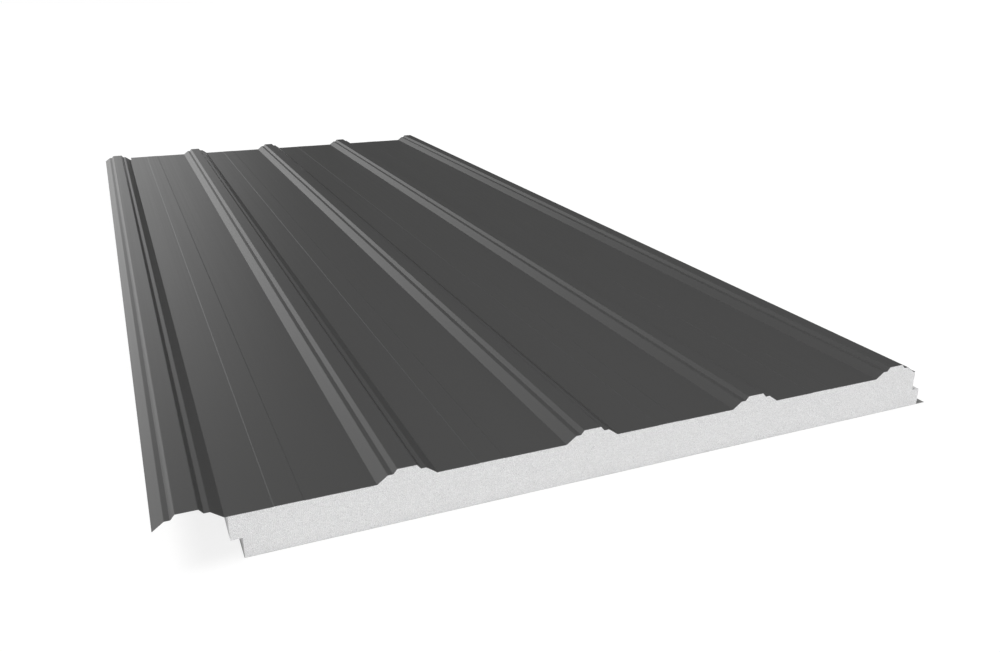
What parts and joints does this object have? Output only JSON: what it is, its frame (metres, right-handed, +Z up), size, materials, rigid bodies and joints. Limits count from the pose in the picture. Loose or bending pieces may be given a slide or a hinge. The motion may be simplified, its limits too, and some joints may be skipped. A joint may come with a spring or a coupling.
{
  "type": "insulated roof sandwich panel",
  "caption": "Long insulated roofing panel: a ribbed dark steel sheet with a side-lap rib, bonded over a white foam core with stepped edges, on a flat steel liner.",
  "frame": {"origin": "centre of the bounding box's base, on the underside of the liner sheet", "axes": "+X across the ribs, from the empty lap rib to the tongue and lip; +Y along the ribs, towards the end where the lap rib is cut back; +Z up, out of the ribbed sheet"},
  "size_m": [1.1066, 2.35, 0.0729],
  "materials": {
    "outer_coating": "satin dark grey coil coating on thin steel",
    "foam": "hot-wire-cut white expanded polystyrene, fine grained",
    "liner_coating": "light coil coating on thin steel"
  },
  "bodies": {
    "root": {"outer_sheet": "outer_coating", "foam_core": "foam", "liner_sheet": "liner_coating"}
  },
  "joints": []
}
